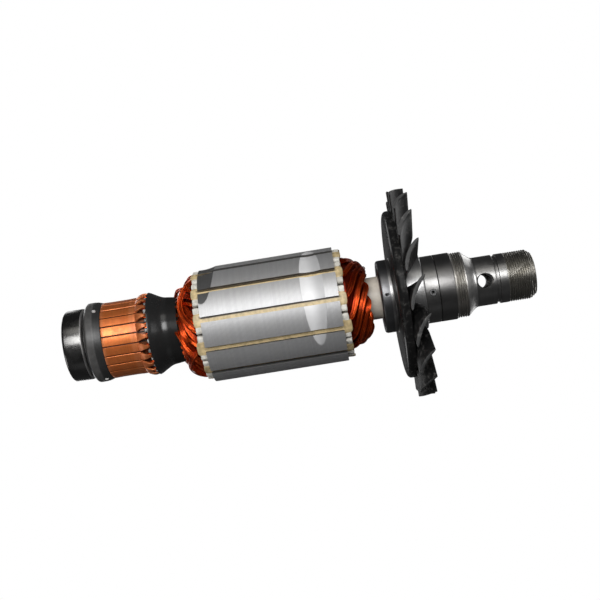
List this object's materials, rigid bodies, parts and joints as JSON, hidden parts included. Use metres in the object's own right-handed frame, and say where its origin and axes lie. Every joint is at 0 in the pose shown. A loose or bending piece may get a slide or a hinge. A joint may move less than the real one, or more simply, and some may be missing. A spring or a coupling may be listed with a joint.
{
  "type": "motor armature",
  "caption": "Wound armature of a hand-held motor: shaft with threaded, bored nose, slotted laminated core with coils, commutator, cooling fan and tail ball bearing.",
  "frame": {"origin": "centre of the tail bearing's end face, on which the part stands", "axes": "+Z along the shaft from the tail bearing to the threaded nose; -Y faces the viewer of the picture and +X points down in it"},
  "size_m": [0.0926, 0.0926, 0.2095],
  "materials": {
    "spindle_steel": "ground and lightly stained steel",
    "bearing_steel": "polished bearing steel",
    "shield_steel": "pressed steel",
    "slinger_plastic": "matte black moulding",
    "commutator_copper": "turned copper",
    "mica": "dull mica strips",
    "bush_brass": "turned brass",
    "moulding_compound": "dark moulding compound",
    "resin": "glossy black casting resin",
    "sleeve_plastic": "pale insulating tube",
    "core_steel": "stack of fine steel sheets, ground outside",
    "liner_paper": "folded insulating paper",
    "wedge_paper": "tan insulating strip",
    "enamelled_copper": "red-brown enamelled copper wire, varnished",
    "dark_steel": "blackened satin steel",
    "fan_plastic": "black moulding with dust on the blades",
    "hub_steel": "turned steel",
    "screw_steel": "blackened screw"
  },
  "bodies": {
    "rotor": {"spindle": "spindle_steel", "bearing_inner_ring": "bearing_steel", "slinger_ring": "slinger_plastic", "commutator_bush": "bush_brass", "commutator_moulding": "moulding_compound", "commutator_bars": "commutator_copper", "commutator_mica": "mica", "lead_binding": "resin", "shaft_sleeve": "sleeve_plastic", "lamination_core": "core_steel", "slot_liners": "liner_paper", "slot_wedges": "wedge_paper", "armature_coils": "enamelled_copper", "hub_ring": "dark_steel", "fan_hub": "hub_steel", "fan": "fan_plastic", "spacer_collar": "spindle_steel", "collar_grub_screw": "screw_steel"},
    "outer_ring": {"bearing_outer_ring": "bearing_steel", "bearing_tail_shield": "shield_steel", "bearing_core_shield": "shield_steel"},
    "ball_cage": {"bearing_balls": "bearing_steel", "bearing_cage": "shield_steel"}
  },
  "joints": [
    {"name": "outer_ring_turn", "type": "hinge", "parent": "rotor", "child": "outer_ring", "pos_m": [0, 0, 0.0045], "axis": [0, 0, 1], "continuous": true},
    {"name": "ball_cage_turn", "type": "hinge", "parent": "rotor", "child": "ball_cage", "pos_m": [0, 0, 0.0045], "axis": [0, 0, 1], "continuous": true}
  ],
  "couplings": [
    {"joint": "ball_cage_turn", "follows": "outer_ring_turn", "ratio": 0.6013}
  ]
}
